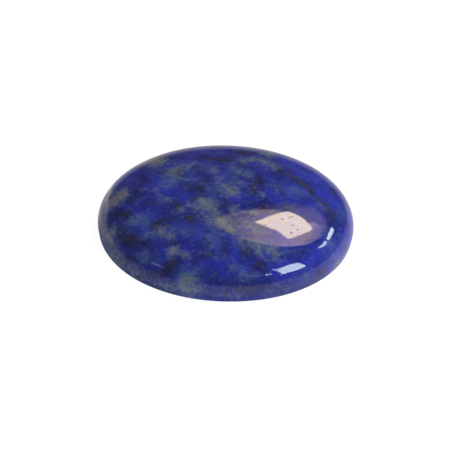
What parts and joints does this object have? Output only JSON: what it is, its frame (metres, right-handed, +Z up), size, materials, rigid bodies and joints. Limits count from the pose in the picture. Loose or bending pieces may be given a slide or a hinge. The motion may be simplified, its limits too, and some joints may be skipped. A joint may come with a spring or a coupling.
{
  "type": "oval lapis lazuli cabochon",
  "caption": "Polished oval stone with a low smooth dome, a narrow upright girdle and a flat bevelled back that it lies on or is set by.",
  "frame": {"origin": "middle of the flat back, on the surface that the stone lies on", "axes": "+Z up through the crown of the dome, +X along the long axis of the oval, +Y along its short axis"},
  "size_m": [0.04, 0.03, 0.0084],
  "materials": {
    "lapis": "polished to a glassy shine, mottled ultramarine with grey-green calcite clouds, dark veins and brassy pyrite specks"
  },
  "bodies": {
    "root": {"cabochon": "lapis"}
  },
  "joints": []
}
